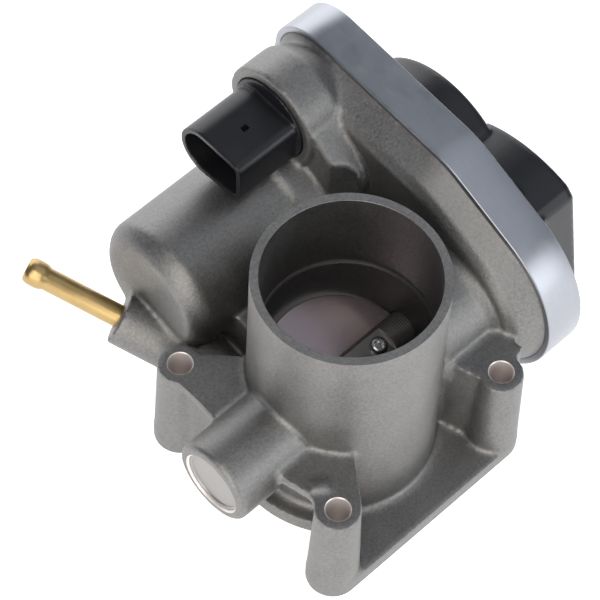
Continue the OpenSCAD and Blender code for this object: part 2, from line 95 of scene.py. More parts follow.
# Sizes repeated from the part's source, in millimetres
SPIGOT_R = 25.0
BORE_R = 22.0
INLET_R = 22.7
STEP_Z = 49.4
FLANGE_T = 4.5
BOSS_TOP = 34.0
BOLT_R = 3.2
BOLTS = [(-0.6 + sx * 29.2, 0.4 + sy * 28.8) for sx, sy in ((-1, 1), (-1, -1), (1, -1), (1, 1))]
CASE_OUTLINE = [(0, 29.6, 29.2), (52, 30, 25), (60.4, 58.3, 14), (20, 38, 30)]
BAND_T = 0.9
JOINT_X = 51.5
FLOOR_X = 41.0
BOSS_END_X = -46.3
PLUG_Y, PLUG_Z = 57.2, 58.4
SEAT_X, SEAT_R = 27.7, 12.1
REST_TILT = math.radians(17.6)
PLATE_SCREW_X = 11.6
NIPPLE_AT = Vector((-25.8, 57.1, 19.5))
NIPPLE_TURN = math.radians(116.6)
NIPPLE_LIFT = math.radians(19.6)
NIPPLE_R = 3.08
NIPPLE_SEAT_R = 3.5
ROOF_RISE = 2.4
ROOF_INSET, ROOF_HOLLOW = 4.6, 5.7
IDLER_DOME = (33.6, 34.7, 25.5)
DOME_TOP = 70.0
COVER_SKIN = 2.2
SHAFT_R = 4.75
NEEDLE_R, NEEDLE_GAP = 0.8, 0.03
MOTOR_SCREW_OFFSET = 17.0

# How far the casting's source runs below the manifold face before it is cut square
BELOW_FACE = 3.0

AXIS_X = Matrix.Rotation(math.pi / 2, 4, "Y")
NIPPLE_FRAME = (
    Matrix.Translation(NIPPLE_AT)
    @ Matrix.Rotation(NIPPLE_TURN, 4, "Z")
    @ Matrix.Rotation(math.pi / 2 - NIPPLE_LIFT, 4, "Y")
)
PLATE_FRAME = Matrix.Translation((0, 0, SHAFT_Z)) @ Matrix.Rotation(REST_TILT, 4, "X")


def along_x(y, z):
    """Frame whose Z axis runs along +X through (y, z)."""
    return Matrix.Translation((0, y, z)) @ AXIS_X


# ---------- mesh helpers, in millimetres until an object is made ----------


def make_object(name, bm, scale=MM):
    """Turns a bmesh in millimetres into a linked object at the origin."""
    bmesh.ops.scale(bm, vec=(scale,) * 3, verts=bm.verts)
    bmesh.ops.recalc_face_normals(bm, faces=bm.faces)
    mesh = bpy.data.meshes.new(name)
    bm.to_mesh(mesh)
    bm.free()
    obj = bpy.data.objects.new(name, mesh)
    bpy.context.scene.collection.objects.link(obj)
    return obj


def lathe(bm, profile, placed, segments=96, skin=None):
    """Adds a closed solid of revolution: profile is (radius, height) from bottom to top, about placed's Z."""
    rings = []
    for radius, height in profile:
        if radius < 1e-6:
            rings.append([bm.verts.new(placed @ Vector((0, 0, height)))])
        else:
            rings.append([
                bm.verts.new(placed @ Vector((
                    radius * math.cos(2 * math.pi * k / segments),
                    radius * math.sin(2 * math.pi * k / segments), height)))
                for k in range(segments)])
    faces = []
    for low, high in zip(rings, rings[1:]):
        for k in range(segments):
            n = (k + 1) % segments
            if len(low) == 1 and len(high) == 1:
                continue
            if len(low) == 1:
                faces.append(bm.faces.new((low[0], high[n], high[k])))
            elif len(high) == 1:
                faces.append(bm.faces.new((low[k], low[n], high[0])))
            else:
                faces.append(bm.faces.new((low[k], low[n], high[n], high[k])))
    if len(rings[0]) > 1:
        faces.append(bm.faces.new(list(reversed(rings[0]))))
    if len(rings[-1]) > 1:
        faces.append(bm.faces.new(rings[-1]))
    for face in faces:
        face.smooth = True
        if skin is not None:
            face.material_index = skin
    return faces


def rod(bm, x0, x1, radius, y, z, segments=96, skin=None, edge=0.0):
    """A cylinder along X, its ends chamfered by edge."""
    profile = [(radius, x0), (radius, x1)]
    if edge:
        profile = [(radius - edge, x0), (radius, x0 + edge), (radius, x1 - edge), (radius - edge, x1)]
    return lathe(bm, profile, along_x(y, z), segments, skin)


def loft(bm, outlines, skin=None):
    """Closed solid through outlines of equal length, each a list of points."""
    loops = [[bm.verts.new(p) for p in outline] for outline in outlines]
    count = len(loops[0])
    faces = [bm.faces.new((a[k], a[(k + 1) % count], b[(k + 1) % count], b[k]))
             for a, b in zip(loops, loops[1:]) for k in range(count)]
    faces.append(bm.faces.new(list(reversed(loops[0]))))
    faces.append(bm.faces.new(loops[-1]))
    for face in faces:
        face.smooth = True
        if skin is not None:
            face.material_index = skin
    return faces


def tangent(a, b):
    """Angle of the outward normal where a belt runs from circle a to circle b."""
    gap = math.hypot(b[0] - a[0], b[1] - a[1])
    return math.atan2(b[1] - a[1], b[0] - a[0]) - math.acos((a[2] - b[2]) / gap)


def belt(circles, grow=0.0, step=3.0):
    """Counter-clockwise outline of a belt stretched around circles of (y, z, radius)."""
    points = []
    for i, c in enumerate(circles):
        start = tangent(circles[i - 1], c)
        sweep = (tangent(c, circles[(i + 1) % len(circles)]) - start) % (2 * math.pi)
        count = max(2, math.ceil(math.degrees(sweep) / step))
        for k in range(count + 1):
            a = start + sweep * k / count
            points.append((c[0] + (c[2] + grow) * math.cos(a), c[1] + (c[2] + grow) * math.sin(a)))
    return points


def slab(bm, outline, x0, x1, skin=None):
    """Extrudes a Y-Z outline from x0 to x1."""
    return loft(bm, [[Vector((x, y, z)) for y, z in outline] for x in (x0, x1)], skin)


def box(bm, low, high, skin=None, placed=Matrix.Identity(4)):
    """An axis-aligned box in placed's frame."""
    outline = [(low[0], low[1]), (high[0], low[1]), (high[0], high[1]), (low[0], high[1])]
    return loft(bm, [[placed @ Vector((x, y, z)) for x, y in outline] for z in (low[2], high[2])], skin)


def quarter(radius, count, sign=1):
    """Steps (inset, rise) of a rounded edge, from the wall to the face."""
    return [(radius * (1 - math.cos(a)), sign * radius * math.sin(a))
            for a in (math.pi / 2 * k / count for k in range(count + 1))]


def cad_bmesh(*names):
    """The CAD nodes' meshes, merged, in millimetres."""
    bm = bmesh.new()
    for name in names:
        bm.from_mesh(NODES[name].data)
    bmesh.ops.scale(bm, vec=(1 / MM,) * 3, verts=bm.verts)
    bmesh.ops.remove_doubles(bm, verts=bm.verts, dist=0.002)
    for face in bm.faces:
        face.material_index = 0
    return bm


def baked(obj, *modifiers):
    """Adds modifiers, each (type, settings), and applies them one after another."""
    for kind, settings in modifiers:
        modifier = obj.modifiers.new(kind, kind)
        for key, value in settings.items():
            setattr(modifier, key, value)
    bpy.context.view_layer.update()
    graph = bpy.context.evaluated_depsgraph_get()
    mesh = bpy.data.meshes.new_from_object(
        obj.evaluated_get(graph), preserve_all_data_layers=True, depsgraph=graph)
    old = obj.data
    obj.modifiers.clear()
    obj.data = mesh
    bpy.data.meshes.remove(old)
    if not mesh.polygons:
        raise RuntimeError(f"{obj.name} has no faces left")
    return obj


def remeshed(obj, voxel, rounds, triangles=None):
    """Fuses overlapping shells into one skin and softens it as casting or moulding does."""
    steps = [("REMESH", {"mode": "VOXEL", "voxel_size": voxel * MM, "use_smooth_shade": True}),
             ("SMOOTH", {"factor": 0.5, "iterations": rounds})]
    baked(obj, *steps)
    if triangles:
        now = sum(len(p.vertices) - 2 for p in obj.data.polygons)
        if now > triangles:
            baked(obj, ("DECIMATE", {"ratio": triangles / now}))
    return obj


def combined(target, other, operation):
    """Boolean of two closed meshes, after which the other one is removed."""
    baked(target, ("BOOLEAN", {"operation": operation, "solver": "MANIFOLD", "object": other}))
    drop(other)
    return target


def drop(obj):
    """Removes an object and its mesh."""
    mesh = obj.data
    bpy.data.objects.remove(obj)
    if isinstance(mesh, bpy.types.Mesh):
        bpy.data.meshes.remove(mesh)


def shaded(obj, angle=32.0):
    """Smooth shading broken at edges sharper than the angle."""
    obj.data.polygons.foreach_set("use_smooth", [True] * len(obj.data.polygons))
    obj.data.set_sharp_from_angle(angle=math.radians(angle))
    return obj


def finished(obj, body, slot, materials, *stands_for, angle=32.0):
    """Shades a piece, gives it its materials and ties it to its body, slot and CAD nodes."""
    shaded(obj, angle)
    while len(obj.data.materials) < len(materials):
        obj.data.materials.append(None)
    for index, material in enumerate(materials):
        obj.data.materials[index] = material
    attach(obj, body)
    if stands_for:
        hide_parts(*stands_for)
    return obj


# ---------- shader helpers ----------


class Term:
    """A shader socket that can be used in Python expressions."""

    def __init__(self, tree, socket):
        self.tree, self.socket = tree, socket

    def _math(self, operation, *values):
        return Shader.node_in(self.tree, "ShaderNodeMath", {"operation": operation}, dict(enumerate(values)))

    def __add__(self, other):
        return self._math("ADD", self, other)

    def __sub__(self, other):
        return self._math("SUBTRACT", self, other)

    def __rsub__(self, other):
        return self._math("SUBTRACT", other, self)

    def __mul__(self, other):
        return self._math("MULTIPLY", self, other)

    def __gt__(self, other):
        return self._math("GREATER_THAN", self, other)

    def sin(self):
        return self._math("SINE", self)

    def root(self):
        return self._math("SQRT", self)

    def clamp(self, low, high):
        return Shader.node_in(self.tree, "ShaderNodeClamp", {}, {"Value": self, "Min": low, "Max": high})

    __radd__, __rmul__ = __add__, __mul__


class Shader:
    """A material's node tree with one method that makes any node."""

    def __init__(self, name):
        self.material = bpy.data.materials.new(name)
        self.material.use_nodes = True
        self.tree = self.material.node_tree
        self.surface = self.tree.nodes["Principled BSDF"]
        self.point = self.node("ShaderNodeTexCoord", {}, {}, "Object")
        self.x, self.y, self.z = (
            self.node("ShaderNodeSeparateXYZ", {}, {"Vector": self.point}, axis) for axis in "XYZ")

    @staticmethod
    def node_in(tree, kind, settings, values, output=0):
        """Any node: settings first, then values or links for its sockets. Returns one output."""
        node = tree.nodes.new(kind)
        for key, value in settings.items():
            setattr(node, key, value)
        for key, value in values.items():
            if isinstance(value, Term):
                tree.links.new(value.socket, node.inputs[key])
            else:
                node.inputs[key].default_value = value
        return Term(tree, node.outputs[output])

    def node(self, kind, settings, values, output=0):
        return self.node_in(self.tree, kind, settings, values, output)

    def noise(self, size_mm, detail=2.0, roughness=0.5, stretch=(1, 1, 1), distortion=0.0):
        """Noise whose features are about size_mm across, drawn out by stretch."""
        point = self.node("ShaderNodeMapping", {"vector_type": "POINT"}, {
            "Vector": self.point, "Scale": tuple(1 / s for s in stretch)})
        return self.node("ShaderNodeTexNoise", {}, {
            "Vector": point, "Scale": 1000.0 / size_mm, "Detail": detail,
            "Roughness": roughness, "Distortion": distortion}, "Fac")

    def blend(self, factor, first, second):
        """Colour that goes from first to second."""
        pad = [c if isinstance(c, Term) else (*c, 1.0) for c in (first, second)]
        return self.node("ShaderNodeMix", {"data_type": "RGBA"}, {
            "Factor": factor, 6: pad[0], 7: pad[1]}, 2)

    def bump(self, height, depth_mm, strength=1.0):
        return self.node("ShaderNodeBump", {}, {
            "Height": height, "Distance": depth_mm * MM, "Strength": strength}, "Normal")

    def from_axis(self, first, second, at_first, at_second):
        """Distance in millimetres from an axis through two coordinates."""
        a = (first * (1 / MM)) - at_first
        b = (second * (1 / MM)) - at_second
        return (a * a + b * b).root()

    def end(self, colour, roughness, normal=None, metallic=1.0, **fixed):
        """Sets the shader's sockets: terms are linked and numbers are set."""
        wanted = {"Base Color": colour, "Roughness": roughness, "Metallic": metallic}
        if normal is not None:
            wanted["Normal"] = normal
        wanted.update({key.replace("_", " "): value for key, value in fixed.items()})
        for key, value in wanted.items():
            if isinstance(value, Term):
                self.tree.links.new(value.socket, self.surface.inputs[key])
            elif isinstance(value, tuple):
                self.surface.inputs[key].default_value = (*value, 1.0)
            else:
                self.surface.inputs[key].default_value = value
        return self.material


def cast_finish(name, dark, light, rough):
    """Blasted die casting: fine grain, cloudy tone and a few rubbed flecks."""
    s = Shader(name)
    grain = s.noise(0.75, 3.0, 0.7)
    cloud = s.noise(13.0, 3.0, 0.55, distortion=0.4)
    fleck = (s.noise(1.6, 2.0, 0.5) - 0.66).clamp(0.0, 1.0) * 4.0
    tone = (cloud * 0.6 + (grain - 0.5) * 1.5 + fleck * 0.25 + 0.2).clamp(0.0, 1.0)
    colour = s.blend(tone, dark, light)
    return s.end(colour, (cloud * 0.16 + grain * 0.16 + (rough - 0.16)).clamp(0.2, 0.9),
                 s.bump(grain + s.noise(0.3, 1.0) * 0.4, 0.13, 0.7))


def turned_finish(name, dark, light, rough, centre, axes="yz", pitch_mm=0.35, depth=0.02, metal=1.0):
    """Metal cut on a lathe: fine grooves around an axis, read as rings."""
    s = Shader(name)
    first, second = getattr(s, axes[0]), getattr(s, axes[1])
    along = {"yz": s.x, "xy": s.z, "xz": s.y}[axes]
    ring = s.from_axis(first, second, *centre) + along * (1 / MM)
    wobble = s.noise(6.0, 2.0)
    groove = ((ring * (2 * math.pi / pitch_mm)) + wobble * 3.0).sin() * 0.5 + 0.5
    colour = s.blend((wobble * 0.7 + groove * 0.2).clamp(0.0, 1.0), dark, light)
    return s.end(colour, (wobble * 0.14 + groove * 0.06 + (rough - 0.1)).clamp(0.06, 0.9),
                 s.bump(groove, depth, 0.35), metallic=metal)


def drawn_finish(name, dark, light, rough, stretch, size_mm=0.6, stain=0.0, depth=0.02, coat=0.0):
    """Drawn or rolled metal: long faint streaks and soft stains."""
    s = Shader(name)
    streak = s.noise(size_mm, 2.0, 0.6, stretch)
    patch = s.noise(7.0, 3.0, 0.6, distortion=0.6)
    speck = (s.noise(1.1, 2.0, 0.6) - 0.68).clamp(0.0, 1.0) * (5.0 * stain)
    tone = (patch * 0.6 + streak * 0.45 - speck).clamp(0.0, 1.0)
    colour = s.blend(tone, dark, light)
    return s.end(colour, (patch * 0.14 + streak * 0.12 + speck * 0.3 + (rough - 0.12)).clamp(0.08, 0.9),
                 s.bump(streak, depth, 0.4), Coat_Weight=coat)


def moulded_finish(name, dark, light, rough, grain_mm=0.4, depth=0.012, specular=0.5):
    """Moulded plastic: satin skin with a fine spark texture and slow sheen changes."""
    s = Shader(name)
    grain = s.noise(grain_mm, 2.0, 0.6)
    flow = s.noise(11.0, 2.0, 0.5, (1.0, 1.0, 2.5), 0.8)
    colour = s.blend((flow * 0.7 + grain * 0.3).clamp(0.0, 1.0), dark, light)
    return s.end(colour, (flow * 0.16 + grain * 0.08 + (rough - 0.12)).clamp(0.1, 0.95),
                 s.bump(grain, depth, 0.5), metallic=0.0, Specular_IOR_Level=specular)


def wound_finish(name, dark, light, rough, pitch_mm=0.5):
    """Enamelled wire laid side by side."""
    s = Shader(name)
    wire = ((s.x + s.y * 0.35 + s.z * 0.2) * (2 * math.pi / pitch_mm / MM)).sin() * 0.5 + 0.5
    tone = (wire * 0.7 + s.noise(3.0) * 0.4).clamp(0.0, 1.0)
    return s.end(s.blend(tone, dark, light), rough, s.bump(wire, 0.08, 0.6), Coat_Weight=0.4)


def board_finish(name, dark, light, track):
    """Printed circuit: lacquered board with faint printed tracks."""
    s = Shader(name)
    radius = s.from_axis(s.y, s.z, 0.0, SHAFT_Z)
    arc = ((radius * (math.pi / 1.2)).sin() > 0.55) * (radius > 8.2) * (13.2 - radius > 0)
    colour = s.blend(arc, s.blend(s.noise(2.5), dark, light), track)
    return s.end(colour, s.noise(4.0) * 0.2 + 0.3, s.bump(arc, 0.03, 0.8), metallic=arc * 0.8)


FINISH = {}


def make_finishes(look):
    """One procedural material for each of the record's material slots, and the machined cuts."""
    cast, band, plate = (tuple(c) for c in (look.casting, look.band, look.plate))

    def shade(colour, factor):
        return tuple(min(1.0, c * factor) for c in colour)

    shaft = (0.0, SHAFT_Z)
    FINISH.update({
        "cast_aluminium": cast_finish(
            "cast_aluminium", shade(cast, 0.66), shade(cast, 1.36), look.cast_roughness),
        # darker copy of the casting for the inlet's inner wall above the step: painted shade inside the bore
        "cast_inner_painted_shade": cast_finish("cast_inner_painted_shade", shade(cast, 0.5), shade(cast, 0.78), 0.62),
        "machined_bore": turned_finish(
            "machined_bore", (0.72, 0.65, 0.62), (0.92, 0.86, 0.83), 0.4, (0, 0), "xy", 0.4, 0.02, 0.45),
        "machined_hole": turned_finish(
            "machined_hole", (0.42, 0.4, 0.38), (0.62, 0.6, 0.57), 0.3, (0, 0), "xy", 0.5, 0.02),
        "bright_aluminium": turned_finish(
            "bright_aluminium", (0.34, 0.325, 0.315), (0.43, 0.415, 0.4), 0.5, shaft, "yz", 0.5, 0.01),
        "band_steel": drawn_finish(
            "band_steel", shade(band, 0.84), shade(band, 1.12), 0.34, (1, 14, 14), 0.5, 0.4, 0.012),
        "steel": turned_finish("steel", (0.42, 0.42, 0.44), (0.62, 0.62, 0.65), 0.25, shaft),
        "dark_steel": turned_finish(
            "dark_steel", (0.2, 0.185, 0.18), (0.31, 0.29, 0.28), 0.3, shaft, "yz", 0.7, 0.004, 0.6),
        "zinc_steel": drawn_finish(
            "zinc_steel", (0.5, 0.53, 0.52), (0.78, 0.8, 0.78), 0.26, (1, 1, 1), 1.2, 0.3, 0.01),
        "spring_steel": drawn_finish(
            "spring_steel", (0.13, 0.13, 0.15), (0.3, 0.3, 0.33), 0.3, (5, 1, 1), 0.5, 0.3),
        "plate_brass": drawn_finish(
            "plate_brass", shade(plate, 0.8), shade(plate, 1.25), 0.2, (14, 1, 1), 0.7, 0.2, 0.006),
        "brass": drawn_finish(
            "brass", (0.36, 0.245, 0.1), (0.62, 0.45, 0.21), 0.34, (5, 9, 3.5), 0.7, 0.8, 0.015),
        "copper": drawn_finish("copper", (0.45, 0.2, 0.1), (0.78, 0.42, 0.26), 0.3, (6, 1, 1), 0.6, 0.3),
        "winding": wound_finish("winding", (0.3, 0.1, 0.04), (0.7, 0.33, 0.17), 0.3),
        "tin_plate": drawn_finish(
            "tin_plate", (0.6, 0.57, 0.47), (0.82, 0.8, 0.7), 0.25, (10, 1, 1), 0.5, 0.2),
        "ferrite": moulded_finish("ferrite", (0.035, 0.035, 0.04), (0.11, 0.11, 0.12), 0.6, 0.3, 0.05),
        "gear_plastic": moulded_finish(
            "gear_plastic", (0.6, 0.54, 0.4), (0.74, 0.69, 0.56), 0.45, 0.8, 0.015),
        "black_plastic": moulded_finish(
            "black_plastic", shade(look.plastic, 0.75), shade(look.plastic, 1.35), 0.36, 0.45, 0.012),
        "seal_rubber": moulded_finish(
            "seal_rubber", (0.012, 0.012, 0.012), (0.03, 0.03, 0.032), 0.62, 0.7, 0.03),
        "circuit_board": board_finish(
            "circuit_board", (0.02, 0.11, 0.05), (0.035, 0.17, 0.08), (0.03, 0.03, 0.035)),
    })
    return FINISH


# ---------- geometry node helpers ----------


def new_tree(name, inputs):
    """A geometry tree with named inputs, each name: (socket type, default)."""
    tree = bpy.data.node_groups.new(name, "GeometryNodeTree")
    tree.interface.new_socket("Geometry", in_out="INPUT", socket_type="NodeSocketGeometry")
    for label, (kind, default) in inputs.items():
        socket = tree.interface.new_socket(label, in_out="INPUT", socket_type=kind)
        if default is not None:
            socket.default_value = default
    tree.interface.new_socket("Geometry", in_out="OUTPUT", socket_type="NodeSocketGeometry")
    return tree, tree.nodes.new("NodeGroupInput"), tree.nodes.new("NodeGroupOutput")


def geo(tree, kind, settings=None, values=None):
    """Adds a geometry node; values are sockets to link or plain values."""
    node = tree.nodes.new(kind)
    for key, value in (settings or {}).items():
        setattr(node, key, value)
    for key, value in (values or {}).items():
        if isinstance(value, bpy.types.NodeSocket):
            tree.links.new(value, node.inputs[key])
        else:
            node.inputs[key].default_value = value
    return node


def grown(name, base, tree, values):
    """Runs a geometry tree on a base object and returns the result as a plain mesh object."""
    modifier = base.modifiers.new("Grow", "NODES")
    modifier.node_group = tree
    keys = {item.name: item.identifier for item in tree.interface.items_tree if item.in_out == "INPUT"}
    for label, value in values.items():
        modifier[keys[label]] = value
    bpy.context.view_layer.update()
    graph = bpy.context.evaluated_depsgraph_get()
    mesh = bpy.data.meshes.new_from_object(base.evaluated_get(graph), depsgraph=graph)
    mesh.name = name
    base.modifiers.clear()
    drop(base)
    if not mesh.polygons:
        raise RuntimeError(f"{name} came out empty")
    bm = bmesh.new()
    bm.from_mesh(mesh)
    bmesh.ops.remove_doubles(bm, verts=bm.verts, dist=1e-6)
    bmesh.ops.recalc_face_normals(bm, faces=bm.faces)
    bm.to_mesh(mesh)
    bm.free()
    obj = bpy.data.objects.new(name, mesh)
    bpy.context.scene.collection.objects.link(obj)
    return obj


def loop_object(name, points):
    """A mesh of one closed loop of edges, in metres."""
    mesh = bpy.data.meshes.new(name)
    count = len(points)
    edges = [(k, (k + 1) % count) for k in range(count)]
    mesh.from_pydata([tuple(c * MM for c in p) for p in points], edges, [])
    obj = bpy.data.objects.new(name, mesh)
    bpy.context.scene.collection.objects.link(obj)
    return obj


def points_object(name, points):
    """A mesh of loose points, in metres."""
    mesh = bpy.data.meshes.new(name)
    mesh.from_pydata([tuple(c * MM for c in p) for p in points], [], [])
    obj = bpy.data.objects.new(name, mesh)
    bpy.context.scene.collection.objects.link(obj)
    return obj


def sweep_tree():
    """Sweeps a section with rounded corners around a closed flat path, then stands it on the Y-Z plane."""
    tree, given, out = new_tree("Band Sweep", {
        "Section": ("NodeSocketObject", None),
        "Corner Radius": ("NodeSocketFloat", 0.0004),
        "Corner Steps": ("NodeSocketInt", 3),
        "Finish": ("NodeSocketMaterial", None)})
    path = geo(tree, "GeometryNodeMeshToCurve", {}, {"Mesh": given.outputs["Geometry"]})
    upright = geo(tree, "GeometryNodeSetCurveNormal", {"mode": "Z_UP"}, {"Curve": path.outputs["Curve"]})
    info = geo(tree, "GeometryNodeObjectInfo", {}, {"Object": given.outputs["Section"]})
    outline = geo(tree, "GeometryNodeMeshToCurve", {}, {"Mesh": info.outputs["Geometry"]})
    rounded = geo(tree, "GeometryNodeFilletCurve", {"mode": "POLY"}, {
        "Curve": outline.outputs["Curve"], "Count": given.outputs["Corner Steps"],
        "Radius": given.outputs["Corner Radius"], "Limit Radius": True})
    swept = geo(tree, "GeometryNodeCurveToMesh", {}, {
        "Curve": upright.outputs["Curve"], "Profile Curve": rounded.outputs["Curve"]})
    stood = geo(tree, "GeometryNodeTransform", {}, {
        "Geometry": swept.outputs["Mesh"], "Rotation": (math.pi / 2, 0.0, math.pi / 2)})
    real = geo(tree, "GeometryNodeRealizeInstances", {}, {"Geometry": stood.outputs["Geometry"]})
    painted = geo(tree, "GeometryNodeSetMaterial", {}, {
        "Geometry": real.outputs["Geometry"], "Material": given.outputs["Finish"]})
    tree.links.new(painted.outputs["Geometry"], out.inputs["Geometry"])
    return tree


def repeat_tree():
    """Puts one shape at every point, turned alike."""
    tree, given, out = new_tree("Repeated Part", {
        "Shape": ("NodeSocketObject", None),
        "Turn": ("NodeSocketVector", (0.0, 0.0, 0.0)),
        "Size": ("NodeSocketFloat", 1.0),
        "Finish": ("NodeSocketMaterial", None)})
    info = geo(tree, "GeometryNodeObjectInfo", {}, {"Object": given.outputs["Shape"]})
    spots = geo(tree, "GeometryNodeMeshToPoints", {}, {"Mesh": given.outputs["Geometry"]})
    turned = geo(tree, "FunctionNodeEulerToRotation", {}, {"Euler": given.outputs["Turn"]})
    placed = geo(tree, "GeometryNodeInstanceOnPoints", {}, {
        "Points": spots.outputs["Points"], "Instance": info.outputs["Geometry"],
        "Rotation": turned.outputs["Rotation"], "Scale": given.outputs["Size"]})
    real = geo(tree, "GeometryNodeRealizeInstances", {}, {"Geometry": placed.outputs["Instances"]})
    painted = geo(tree, "GeometryNodeSetMaterial", {}, {
        "Geometry": real.outputs["Geometry"], "Material": given.outputs["Finish"]})
    tree.links.new(painted.outputs["Geometry"], out.inputs["Geometry"])
    return tree


def repeated(name, shape, points, turn, finish):
    """Copies of a shape at points, as one plain mesh."""
    tree = bpy.data.node_groups.get("Repeated Part") or repeat_tree()
    obj = grown(name, points_object(name + "_points", points), tree, {
        "Shape": shape, "Turn": turn, "Size": 1.0, "Finish": finish})
    drop(shape)
    return obj


# ---------- the pieces ----------


def screw_shape(name, head_r, head_h, shank_r, shank_h, star_r):
    """A pan-head screw with a six-lobed socket, the underside of its head at the origin."""
    bm = bmesh.new()
    shank = [(shank_r * 0.6, -shank_h), (shank_r, -shank_h + 0.4), (shank_r, 0)]
    crown = [(head_r - 0.08, 0), (head_r, 0.1), (head_r, head_h * 0.45), (head_r * 0.95, head_h * 0.7),
             (head_r * 0.8, head_h * 0.92), (head_r * 0.62, head_h)]
    lathe(bm, shank + crown, Matrix.Identity(4), 40)
    head = make_object(name, bm)
    cutter = bmesh.new()
    count = 48
    star = [(star_r * (0.86 + 0.14 * math.cos(6 * a)) * math.cos(a),
             star_r * (0.86 + 0.14 * math.cos(6 * a)) * math.sin(a))
            for a in (2 * math.pi * k / count for k in range(count))]
    levels = ((0.92, head_h * 0.25), (1.0, head_h * 0.5), (1.0, head_h * 0.93), (1.2, head_h + 0.2))
    loft(cutter, [[Vector((x * s, y * s, z)) for x, y in star] for s, z in levels])
    return combined(head, make_object(name + "_socket", cutter), "DIFFERENCE")


def cast_details(bm, fillet):
    """Plugs for the machined holes, cast fillets, lips and marks that the casting skin runs over."""
    at_bore = Matrix.Identity(4)
    # the bore is filled, and the barrel runs on past both ends until they are cut square
    core = SPIGOT_R - 1.2
    lathe(bm, [(core, -BELOW_FACE), (core, STEP_Z), (SPIGOT_R, STEP_Z + 2), (SPIGOT_R, BODY_H + 3)],
          at_bore, 160)
    for x, y in BOLTS:
        lathe(bm, [(BOLT_R + 1.4, -BELOW_FACE), (BOLT_R + 1.4, BOSS_TOP)], Matrix.Translation((x, y, 0)), 48)
    rod(bm, BOSS_END_X, -24, 9.9, 0, SHAFT_Z)
    rod(bm, SEAT_X, SEAT_X + 5, SEAT_R + 0.8, PLUG_Y, PLUG_Z)
    lathe(bm, [(4.6, -10), (4.6, -0.02)], NIPPLE_FRAME, 48)
    # cast fillet where the barrel stands on the flange
    foot = [(SPIGOT_R - 1, FLANGE_T - 1), (SPIGOT_R + fillet, FLANGE_T - 1)]
    foot += [(SPIGOT_R + fillet - rise, FLANGE_T + inset) for inset, rise in quarter(fillet, 6)]
    foot += [(SPIGOT_R - 1, FLANGE_T + fillet)]
    lathe(bm, foot, at_bore, 128)
    # small raised mark beside a bolt boss
    mark = Matrix.Translation((-28.6, -20.6, BOSS_TOP)) @ Matrix.Rotation(math.radians(-38), 4, "Z")
    block = ((-2.6, -1.6), (2.6, -1.6), (2.6, 1.6), (-2.6, 1.6))
    loft(bm, [[mark @ Vector((x * s, y * s, z)) for x, y in block]
              for s, z in ((1.0, -0.6), (1.0, 0.5), (0.75, 1.1))])


def flange_skirt(bm):
    """Carries the flange's outline down, so that its machined face can be cut square."""
    base = cad_bmesh("housing")
    down = [f for f in base.faces if f.normal.z < -0.99 and f.calc_center_median().z < 0.05]
    made = bmesh.ops.extrude_face_region(base, geom=down)
    lowered = [v for v in made["geom"] if isinstance(v, bmesh.types.BMVert)]
    bmesh.ops.translate(base, vec=(0, 0, -BELOW_FACE), verts=lowered)
    bmesh.ops.delete(base, geom=down, context="FACES_ONLY")
    mesh = bpy.data.meshes.new("housing_base")
    base.to_mesh(mesh)
    base.free()
    bm.from_mesh(mesh)
    bpy.data.meshes.remove(mesh)


# the second slot is the darker copy of the casting, painted shade for the inlet's inner wall
CAST, INNER_PAINTED_SHADE, BORE, HOLE = range(4)
HOUSING_SKINS = ("cast_aluminium", "cast_inner_painted_shade", "machined_bore", "machined_hole")


